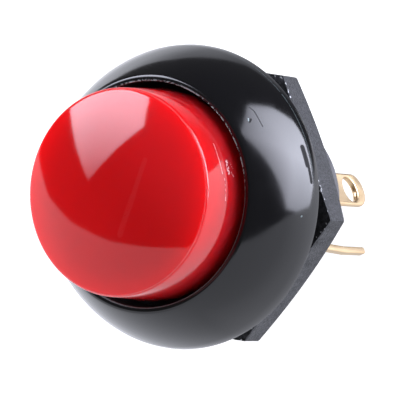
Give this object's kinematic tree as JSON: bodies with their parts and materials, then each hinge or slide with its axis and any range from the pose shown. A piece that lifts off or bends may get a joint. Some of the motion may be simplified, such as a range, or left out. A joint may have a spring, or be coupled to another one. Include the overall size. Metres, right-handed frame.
{
  "type": "illuminated push button switch",
  "caption": "Round panel push button with a domed red translucent cap in a black bezel, a hex nut behind it, solder lugs and lamp pins.",
  "frame": {"origin": "centre of the bezel's underside, where the seal and panel meet it", "axes": "+Z along the button's axis towards the finger, X through the two solder lugs, Y through the lamp pins"},
  "size_m": [0.018, 0.0182, 0.0289],
  "materials": {
    "bezel_black": "gloss moulded",
    "seal_rubber": "matte",
    "nut_grey": "fine spark texture",
    "cap_red": "gloss translucent",
    "diffuser_milk": "milky",
    "plunger_white": "satin",
    "spring_steel": "drawn wire",
    "contact_silver": "silver plated",
    "lamp_epoxy": "clear tinted epoxy",
    "gold_plate": "gold plated",
    "base_grey": "fine spark texture",
    "resin_black": "poured epoxy"
  },
  "bodies": {
    "housing": {"bezel_bushing": "bezel_black", "panel_seal": "seal_rubber", "terminal_base": "base_grey", "resin_seal": "resin_black", "terminal_common": "gold_plate", "terminal_open": "gold_plate", "contact_stud_common": "contact_silver", "contact_stud_open": "contact_silver", "led_lamp": "lamp_epoxy", "led_holder": "plunger_white", "led_anode_lead": "gold_plate", "led_cathode_lead": "gold_plate", "return_spring": "spring_steel"},
    "button": {"button_cap": "cap_red", "light_diffuser": "diffuser_milk", "plunger": "plunger_white", "plunger_seal": "seal_rubber", "contact_spring": "spring_steel"},
    "contact": {"contact_ring": "contact_silver"},
    "nut": {"hex_nut": "nut_grey"}
  },
  "joints": [
    {"name": "button_press", "type": "slide", "parent": "housing", "child": "button", "axis": [0, 0, -1], "range_m": [0, 0.0016], "stiffness_N_per_m": 1500, "deforming": ["return_spring"]},
    {"name": "contact_lost_motion", "type": "slide", "parent": "button", "child": "contact", "axis": [0, 0, 1], "range_m": [0, 0.0004], "deforming": ["contact_spring"]},
    {"name": "nut_removal", "type": "slide", "parent": "housing", "child": "nut", "axis": [0, 0, -1], "range_m": [0, 0.022]}
  ],
  "couplings": [
    {"joint": "contact_lost_motion", "follows": "button_press", "ratio": 0.25}
  ]
}
